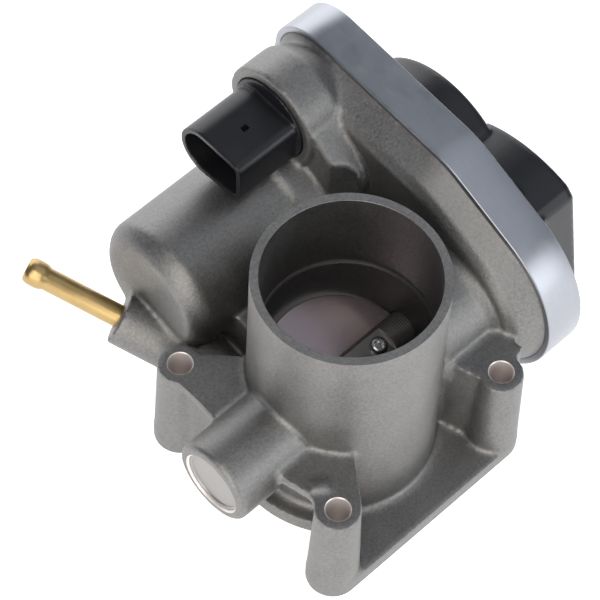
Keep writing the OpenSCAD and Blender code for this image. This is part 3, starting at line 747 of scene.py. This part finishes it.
def housing_cutters():
    """Every machined cut of the housing as one closed mesh; each face knows its finish."""
    cuts = []

    def cut(*parts):
        bm = bmesh.new()
        for part in parts:
            part(bm)
        cuts.append(make_object("cutter", bm))

    at_bore = Matrix.Identity(4)
    c, rim = 0.5, 0.1

    def passage(bm):
        faces = lathe(bm, [(BORE_R + c, -1), (BORE_R + c, 0), (BORE_R, c), (BORE_R, STEP_Z - 0.5),
                           (BORE_R + 0.35, STEP_Z), (INLET_R, STEP_Z + 0.02), (INLET_R, BODY_H - rim),
                           (INLET_R + rim, BODY_H), (INLET_R + rim, BODY_H + 2)],
                      at_bore, 160, BORE)
        # faces above the step take the darker copy of the casting: painted shade inside the inlet
        for face in faces:
            if face.calc_center_median().z > STEP_Z + 0.1:
                face.material_index = INNER_PAINTED_SHADE

    cut(passage)
    bolt_hole = [(BOLT_R + 0.5, -1), (BOLT_R + 0.5, 0), (BOLT_R, 0.5), (BOLT_R, BOSS_TOP - 0.25),
                 (BOLT_R + 0.25, BOSS_TOP), (BOLT_R + 0.25, BOSS_TOP + 2)]
    for x, y in BOLTS:
        cut(lambda bm, x=x, y=y: lathe(bm, bolt_hole, Matrix.Translation((x, y, 0)), 64, HOLE))
    cap_r = CAP_HIGH.z - SHAFT_Z
    cup_r = CUP_HIGH.z - SHAFT_Z
    cap_bore = [(cap_r + 0.5, BOSS_END_X - 1), (cap_r + 0.5, BOSS_END_X), (cap_r, BOSS_END_X + 0.5),
                (cap_r, BOSS_END_X + 3), (cup_r, BOSS_END_X + 3.01), (cup_r, -26)]
    cut(lambda bm: lathe(bm, cap_bore, along_x(0, SHAFT_Z), 96, HOLE))
    cut(lambda bm: rod(bm, -30, 30, 5.1, 0, SHAFT_Z, skin=BORE))
    gear_side = [(cup_r, 25), (cup_r, 39), (6.3, 39.01), (6.3, 48.5)]
    cut(lambda bm: lathe(bm, gear_side, along_x(0, SHAFT_Z), 96, BORE))
    can, can_x = CAN_R + 0.05, CAN_LOW.x
    motor_bore = [(4.2, can_x - 0.2), (4.2, can_x + 2), (can, can_x + 2.01), (can, FLOOR_X + 1)]
    cut(lambda bm: lathe(bm, motor_bore, along_x(MOTOR_Y, SHAFT_Z), 96, BORE))
    plug_seat = [(SEAT_R + 0.35, SEAT_X - 2), (SEAT_R + 0.35, SEAT_X), (SEAT_R, SEAT_X + 0.35),
                 (SEAT_R, SEAT_X + 3.5), (9.8, SEAT_X + 3.51), (9.8, FLOOR_X + 1)]
    cut(lambda bm: lathe(bm, plug_seat, along_x(PLUG_Y, PLUG_Z), 96, CAST))
    drilling = [(1.8, -52), (1.8, -12), (NIPPLE_SEAT_R, -11.99), (NIPPLE_SEAT_R, 2)]
    cut(lambda bm: lathe(bm, drilling, NIPPLE_FRAME, 48, HOLE))
    # everything above the inlet's rim and below the manifold face
    cut(lambda bm: box(bm, (-32, -32, BODY_H), (32, 32, BODY_H + 9), CAST))
    cut(lambda bm: box(bm, (-60, -60, -9), (70, 100, 0), BORE))
    whole = cuts[0]
    for other in cuts[1:]:
        combined(whole, other, "UNION")
    return whole


def build_housing(look):
    """Cast housing: the CAD shape with a softened casting skin and crisp machined cuts."""
    bm = bmesh.new()
    flange_skirt(bm)
    cast_details(bm, look.foot_fillet)
    body = make_object("cast_housing", bm)
    voxel = look.casting_voxel
    remeshed(body, voxel, look.casting_softening, look.housing_triangles)
    cutter = housing_cutters()
    for piece in (body, cutter):
        for skin in HOUSING_SKINS:
            piece.data.materials.append(FINISH[skin])
    combined(body, cutter, "DIFFERENCE")
    return finished(body, "casing", "cast_aluminium", [FINISH[skin] for skin in HOUSING_SKINS], "housing")


def build_band(look):
    """Crimp band: rolled steel strip bent round the joint, with folded lips."""
    width = BAND_HIGH.x - BAND_LOW.x
    middle = (BAND_HIGH.x + BAND_LOW.x) / 2
    # section in (outward, along X) about the outline's own line, counter-clockwise
    t, front, rear = BAND_T, 2.0, 3.4
    half = width / 2
    section = [(0, -half), (0, half), (-rear, half), (-rear, half - t), (-t, half - t),
               (-t, -half + t), (-front, -half + t), (-front, -half)]
    path = loop_object("band_path", [(y, z, middle) for y, z in belt(CASE_OUTLINE, 0.0, 2.5)])
    shape = loop_object("band_section", [(out, -along, 0) for out, along in section])
    band = grown("rolled_band", path, sweep_tree(), {
        "Section": shape, "Corner Radius": look.band_corner * MM, "Corner Steps": 4,
        "Finish": FINISH["band_steel"]})
    drop(shape)
    return finished(band, "casing", "band_steel", [FINISH["band_steel"]], "crimp_band", angle=40)


def sensor_outline(inset):
    """Outline of the raised sensor housing on the cover: a shallow crown, a flat side and a round foot."""
    def arc(y, z, r, first, last, count):
        return [(y + r * math.cos(a), z + r * math.sin(a))
                for a in (math.radians(first + (last - first) * k / count) for k in range(count + 1))]
    return (arc(4.7, 18.6, 37.2 - inset, 64, 110, 14) + [(-10.6 + inset, 51.2 - inset), (-16.4 + inset, 17)]
            + arc(0, SHAFT_Z, 23.5 - inset, 224, 300, 14) + [(22 - inset, 16 + inset)])


def build_cover(look):
    """Gear cover: moulded plate with two raised domes, hollow behind."""
    roof = BAND_HIGH.x + ROOF_RISE
    edge = look.cover_edge
    bm = bmesh.new()
    slab(bm, belt(CASE_OUTLINE, -BAND_T), JOINT_X + 1, BAND_HIGH.x - BAND_T)
    slab(bm, belt(CASE_OUTLINE, -ROOF_INSET), BAND_HIGH.x - 2, roof)
    y, z, r = IDLER_DOME
    lathe(bm, [(r, roof - 2)] + [(r - inset, DOME_TOP - edge + rise) for inset, rise in quarter(edge, 8)],
          along_x(y, z), 128)
    loft(bm, [[Vector((roof - 2, *p)) for p in sensor_outline(0)]]
         + [[Vector((COVER_TOP - edge + rise, *p)) for p in sensor_outline(inset)]
            for inset, rise in quarter(edge, 8)])
    cover = make_object("domed_cover", bm)
    remeshed(cover, 0.6, 3, 150000)
    skin = COVER_SKIN
    hollow = bmesh.new()
    slab(hollow, belt(CASE_OUTLINE, -ROOF_HOLLOW), JOINT_X - 2, roof - skin)
    inner = make_object("cover_hollow", hollow)
    under_idler = [(r - skin, roof - 4), (r - skin, DOME_TOP - edge - skin / 2),
                   (r - skin - edge * 0.6, DOME_TOP - skin)]
    under_sensor = [[Vector((x, *p)) for p in sensor_outline(inset)] for x, inset in (
        (roof - 4, skin), (COVER_TOP - edge - skin / 2, skin), (COVER_TOP - skin, skin + edge * 0.6))]
    for build in (lambda b: lathe(b, under_idler, along_x(y, z), 96), lambda b: loft(b, under_sensor)):
        part = bmesh.new()
        build(part)
        combined(inner, make_object("cover_hollow_part", part), "UNION")
    combined(cover, inner, "DIFFERENCE")
    return finished(cover, "casing", "black_plastic", [FINISH["black_plastic"]], "gear_cover")


def build_connector(look):
    """Connector: a D-shaped shroud on a round seat, its rim rounded, with a latch slot in its upper face."""
    bm = cad_bmesh("connector_shell")
    shell = make_object("plug_shroud", bm)
    remeshed(shell, 0.32, 3, 110000)
    slot = bmesh.new()
    tilt = Matrix.Translation((17.0, 55.6, 66.0)) @ Matrix.Rotation(math.radians(-14), 4, "X")
    box(slot, (-1.0, -0.8, -1.6), (1.0, 0.8, 1.2), placed=tilt)
    combined(shell, make_object("latch_slot", slot), "DIFFERENCE")
    return finished(shell, "casing", "black_plastic", [FINISH["black_plastic"]], "connector_shell")


def build_nipple(look):
    """Vacuum nipple: drawn brass tube with a rolled bead near its mouth."""
    r, bead = NIPPLE_R, 0.6
    outer = [(NIPPLE_SEAT_R, -11.5), (NIPPLE_SEAT_R, -0.35), (r, -0.2), (r, 21.3), (r + 0.16, 21.75),
             (r + bead * 0.8, 22.5), (r + bead, 23.4), (r + bead, 25.2), (r + bead * 0.8, 26.2),
             (r + 0.1, 27.0), (r - 0.25, 27.3), (r - 0.75, 27.25), (2.15, 26.8)]
    bm = bmesh.new()
    lathe(bm, [(2.1, -11.5)] + outer + [(2.1, 26.4)], NIPPLE_FRAME, 72)
    # turn the two flat ends into a through bore
    tube = make_object("brass_nipple", bm)
    bore = bmesh.new()
    lathe(bore, [(2.1, -13), (2.1, 29)], NIPPLE_FRAME, 72)
    combined(tube, make_object("nipple_bore", bore), "DIFFERENCE")
    return finished(tube, "casing", "brass", [FINISH["brass"]], "vacuum_nipple")


def build_end_cap(look):
    """Pressed cap that closes the end of the shaft's bore, with a raised rolled rim."""
    r, x0, x1 = CAP_HIGH.z - SHAFT_Z, CAP_LOW.x, CAP_HIGH.x
    bm = bmesh.new()
    front = [(0, x0 + 0.55), (r - 1.5, x0 + 0.55), (r - 0.95, x0 + 0.5), (r - 0.75, x0 + 0.15),
             (r - 0.45, x0), (r - 0.12, x0 + 0.12), (r, x0 + 0.45)]
    back = [(r, x1), (r - 1.2, x1), (r - 1.2, x1 - 0.9), (0, x1 - 0.9)]
    lathe(bm, front + back, along_x(0, SHAFT_Z), 96)
    cap = make_object("pressed_cap", bm)
    return finished(
        cap, "casing", "bright_aluminium", [FINISH["bright_aluminium"]], "shaft_end_cap", angle=50)


def build_plate(look):
    """Throttle plate: a machined disc with eased edges."""
    low, high = corners("throttle_plate")
    r, half = (high.x - low.x) / 2, 0.75
    ease = 0.16
    bm = bmesh.new()
    lathe(bm, [(r - ease, -half), (r, -half + ease), (r, half - ease), (r - ease, half)], PLATE_FRAME, 160)
    disc = make_object("butterfly_plate", bm)
    for side in (-1, 1):
        hole = bmesh.new()
        lathe(hole, [(1.7, -3), (1.7, 3)], PLATE_FRAME @ Matrix.Translation((side * PLATE_SCREW_X, 0, 0)), 32)
        combined(disc, make_object("plate_hole", hole), "DIFFERENCE")
    return finished(disc, "throttle", "plate_brass", [FINISH["plate_brass"]], "throttle_plate")


def build_screws(look):
    """The plate's two screws and the motor's two screws."""
    points = [PLATE_FRAME @ Vector((side * PLATE_SCREW_X, 0, 3.12)) for side in (-1, 1)]
    shape = screw_shape("plate_screw", 2.4, 1.5, 1.25, 7.3, 1.5)
    plate = repeated("plate_screw_pair", shape, points, (REST_TILT, 0, 0), FINISH["zinc_steel"])
    finished(plate, "throttle", "zinc_steel", [FINISH["zinc_steel"]], "plate_screws", angle=38)
    head = corners("motor_screws")[1].x - 1.6
    points = [(head, MOTOR_Y, SHAFT_Z + side * MOTOR_SCREW_OFFSET) for side in (-1, 1)]
    shape = screw_shape("motor_screw", 2.3, 1.6, 1.25, 8.4, 1.35)
    motor = repeated("motor_screw_pair", shape, points, (0, math.pi / 2, 0), FINISH["zinc_steel"])
    return finished(motor, "casing", "zinc_steel", [FINISH["zinc_steel"]], "motor_screws", angle=38)


def build_needles(look):
    """Needle rollers: round-ended pins repeated around the shaft in both bearings."""
    for side in ("left", "right"):
        low, high = corners("bearing_needles_" + side)
        length, radius = high.x - low.x, NEEDLE_R
        pitch = SHAFT_R + NEEDLE_GAP + radius
        bm = bmesh.new()
        half = length / 2
        lathe(bm, [(radius * 0.45, -half), (radius * 0.85, -half + 0.12), (radius, -half + 0.4),
                   (radius, half - 0.4), (radius * 0.85, half - 0.12), (radius * 0.45, half)],
              Matrix.Identity(4), 20)
        pin = make_object("needle_" + side, bm)
        middle = (low.x + high.x) / 2
        points = [(middle, pitch * math.cos(a), SHAFT_Z + pitch * math.sin(a))
                  for a in (math.radians(20 * k) for k in range(18))]
        ring = repeated("needle_ring_" + side, pin, points, (0, math.pi / 2, 0), FINISH["steel"])
        finished(ring, "casing", "steel", [FINISH["steel"]], "bearing_needles_" + side, angle=38)


def finish_carried_nodes():
    """Gives every CAD node that stays visible the procedural finish of its slot."""
    slots = {row["node"]: row["material_slot"] for row in frame["record"]["subparts"]}
    special = {"rotor_windings": "winding"}
    for name, obj in NODES.items():
        finish = FINISH[special.get(name, slots[name])]
        obj.data.materials.clear()
        obj.data.materials.append(finish)


# ---------- stage ----------


def area_light(name, at, aim, size, power, colour):
    """A soft rectangular lamp."""
    lamp = bpy.data.lights.new(name, "AREA")
    lamp.shape, lamp.size, lamp.size_y = "RECTANGLE", size[0], size[1]
    lamp.energy, lamp.color = power, colour
    obj = bpy.data.objects.new(name, lamp)
    bpy.context.scene.collection.objects.link(obj)
    obj.location = at
    obj.rotation_mode = "QUATERNION"
    obj.rotation_quaternion = (Vector(aim) - Vector(at)).to_track_quat("-Z", "Y")
    return obj


def build_stage(look):
    """Pale floor, soft lamps, dim surroundings and the camera."""
    low = CAD_BOX[0].z - 0.0002
    bm = bmesh.new()
    corner = [(-3, -3), (3, -3), (3, 3), (-3, 3)]
    bm.faces.new([bm.verts.new((x, y, low)) for x, y in corner])
    floor = make_object("floor", bm, 1.0)
    s = Shader("pale_floor")
    cloud = s.noise(90.0, 2.0)
    tone = s.blend(cloud, (0.86, 0.86, 0.87), (0.9, 0.9, 0.9))
    floor.data.materials.append(s.end(tone, 0.7, metallic=0.0, Emission_Strength=look.floor_glow,
                                      Emission_Color=(1.0, 1.0, 1.0), Specular_IOR_Level=0.1))
    world = bpy.data.worlds.new("studio")
    world.use_nodes = True
    world.node_tree.nodes["Background"].inputs["Color"].default_value = (0.80, 0.86, 1.0, 1.0)
    world.node_tree.nodes["Background"].inputs["Strength"].default_value = look.sky
    bpy.context.scene.world = world
    aim = (0.0, 0.02, 0.035)
    area_light("key", (-0.75, -0.35, 0.40), aim, (0.7, 0.7), look.key_power, (1.0, 0.965, 0.92))
    area_light("fill", (0.25, -0.95, 0.35), aim, (0.8, 0.6), look.fill_power, (0.94, 0.97, 1.0))
    area_light("top", (0.42, -0.25, 0.97), aim, (0.9, 0.8), look.top_power, (0.86, 0.92, 1.0))
    area_light("front", (-0.42, -0.4, 0.95), aim, (0.5, 0.5), look.front_power, (1.0, 0.97, 0.94))
    area_light("back", (0.55, 1.0, 0.45), aim, (1.6, 0.9), look.back_power, (0.97, 0.98, 1.0))
    camera = bpy.data.cameras.new("camera")
    camera.sensor_width, camera.lens = 36.0, look.lens
    camera.clip_start, camera.clip_end = 0.01, 20.0
    obj = bpy.data.objects.new("camera", camera)
    bpy.context.scene.collection.objects.link(obj)
    right = Vector((0.719327, -0.693875, 0.033256))
    up = Vector((0.573491, 0.620180, 0.535243))
    back = right.cross(up).normalized()
    turn = Matrix((right, up, back)).transposed().to_4x4()
    turn.translation = (-0.29856, -0.26200, 0.68954)
    obj.matrix_world = turn
    bpy.context.scene.camera = obj
    bpy.context.scene.view_settings.view_transform = "Standard"


# ---------- properties, operators, panel ----------


class ThrottleLook(bpy.types.PropertyGroup):
    """Sizes and colours that a user would change."""

    casting: FloatVectorProperty(
        name="Casting", description="Colour of the cast aluminium", subtype="COLOR", size=3,
        min=0.0, max=1.0, default=(0.245, 0.24, 0.232))
    cast_roughness: FloatProperty(
        name="Casting Roughness", description="How rough the cast skin is", default=0.5, min=0.1, max=1.0,
        subtype="FACTOR")
    band: FloatVectorProperty(
        name="Band", description="Colour of the crimp band", subtype="COLOR", size=3, min=0.0, max=1.0,
        default=(0.4, 0.41, 0.44))
    plate: FloatVectorProperty(
        name="Plate", description="Colour of the throttle plate", subtype="COLOR", size=3, min=0.0, max=1.0,
        default=(0.27, 0.22, 0.23))
    plastic: FloatVectorProperty(
        name="Plastic", description="Colour of the cover and the connector", subtype="COLOR", size=3,
        min=0.0, max=1.0, default=(0.009, 0.009, 0.011))
    casting_voxel: FloatProperty(
        name="Casting Detail", description="Cell size of the casting's skin in millimetres", default=0.72,
        min=0.4, max=2.0)
    casting_softening: IntProperty(
        name="Casting Softening", description="Rounds of smoothing over the casting's edges", default=6,
        min=0, max=30)
    housing_triangles: IntProperty(
        name="Casting Triangles", description="Most triangles in the casting's skin", default=165000,
        min=20000, max=190000)
    foot_fillet: FloatProperty(
        name="Foot Fillet", description="Radius where the barrel meets the flange, in millimetres",
        default=2.4, min=0.5, max=5.0)
    band_corner: FloatProperty(
        name="Band Corner", description="Radius of the band's rolled corners in millimetres", default=0.42,
        min=0.05, max=0.44)
    cover_edge: FloatProperty(
        name="Cover Edge", description="Radius of the cover's raised edges in millimetres", default=1.5,
        min=0.5, max=6.0)
    floor_glow: FloatProperty(
        name="Floor Glow", description="Light that the floor gives back by itself", default=0.75,
        min=0.0, max=2.0)
    sky: FloatProperty(
        name="Surroundings", description="Brightness around the stage", default=0.18, min=0.0, max=2.0)
    key_power: FloatProperty(
        name="Key", description="Power of the key lamp", default=4.2, min=0.0, max=500.0, unit="POWER")
    fill_power: FloatProperty(
        name="Fill", description="Power of the fill lamp", default=4.0, min=0.0, max=500.0, unit="POWER")
    top_power: FloatProperty(
        name="Top", description="Power of the top lamp", default=1.3, min=0.0, max=500.0, unit="POWER")
    front_power: FloatProperty(
        name="Front", description="Power of the front lamp", default=3.0, min=0.0, max=500.0, unit="POWER")
    back_power: FloatProperty(
        name="Back", description="Power of the back lamp", default=9.0, min=0.0, max=500.0, unit="POWER")
    lens: FloatProperty(
        name="Lens", description="Focal length of the camera", default=180.2, min=20.0, max=400.0,
        unit="CAMERA")


def piece_operator(idname, label, doc, build):
    """Makes the Operator class of one piece from its build function."""
    def execute(self, context):
        build(context.scene.throttle_look)
        return {"FINISHED"}

    return type("THROTTLE_OT_" + idname, (bpy.types.Operator,), {
        "bl_idname": "throttle." + idname, "bl_label": label, "__doc__": doc,
        "bl_options": {"REGISTER", "UNDO"}, "execute": execute})


def build_finishes(look):
    """Makes every finish and gives the CAD nodes theirs."""
    make_finishes(look)
    finish_carried_nodes()


STEPS = [
    ("finishes", "Finishes", "Makes the procedural finishes", build_finishes),
    ("housing", "Cast Housing", "Builds the cast housing", build_housing),
    ("band", "Crimp Band", "Builds the rolled crimp band", build_band),
    ("cover", "Gear Cover", "Builds the domed gear cover", build_cover),
    ("connector", "Connector", "Builds the connector's shroud", build_connector),
    ("nipple", "Vacuum Nipple", "Builds the brass nipple", build_nipple),
    ("cap", "End Cap", "Builds the cap of the shaft's bore", build_end_cap),
    ("plate", "Throttle Plate", "Builds the throttle plate", build_plate),
    ("screws", "Screws", "Builds the plate's and the motor's screws", build_screws),
    ("needles", "Needle Rollers", "Builds the needles of both bearings", build_needles),
    ("stage", "Stage", "Builds the floor, lamps and camera", build_stage),
]
OPERATORS = [piece_operator(*step) for step in STEPS]


class THROTTLE_PT_panel(bpy.types.Panel):
    """Lists the throttle body's pieces and looks."""

    bl_label = "Throttle Body"
    bl_idname = "THROTTLE_PT_panel"
    bl_space_type = "VIEW_3D"
    bl_region_type = "UI"
    bl_category = "Throttle Body"

    def draw(self, context):
        look = context.scene.throttle_look
        for key in ThrottleLook.__annotations__:
            self.layout.prop(look, key)
        for operator in OPERATORS:
            self.layout.operator(operator.bl_idname)


CLASSES = [ThrottleLook, *OPERATORS, THROTTLE_PT_panel]


def register():
    for cls in CLASSES:
        bpy.utils.register_class(cls)
    bpy.types.Scene.throttle_look = PointerProperty(type=ThrottleLook)


def unregister():
    del bpy.types.Scene.throttle_look
    for cls in reversed(CLASSES):
        bpy.utils.unregister_class(cls)


def main():
    register()
    for name, *_ in STEPS:
        getattr(bpy.ops.throttle, name)()
    bpy.context.view_layer.update()


if __name__ == "__main__":
    main()
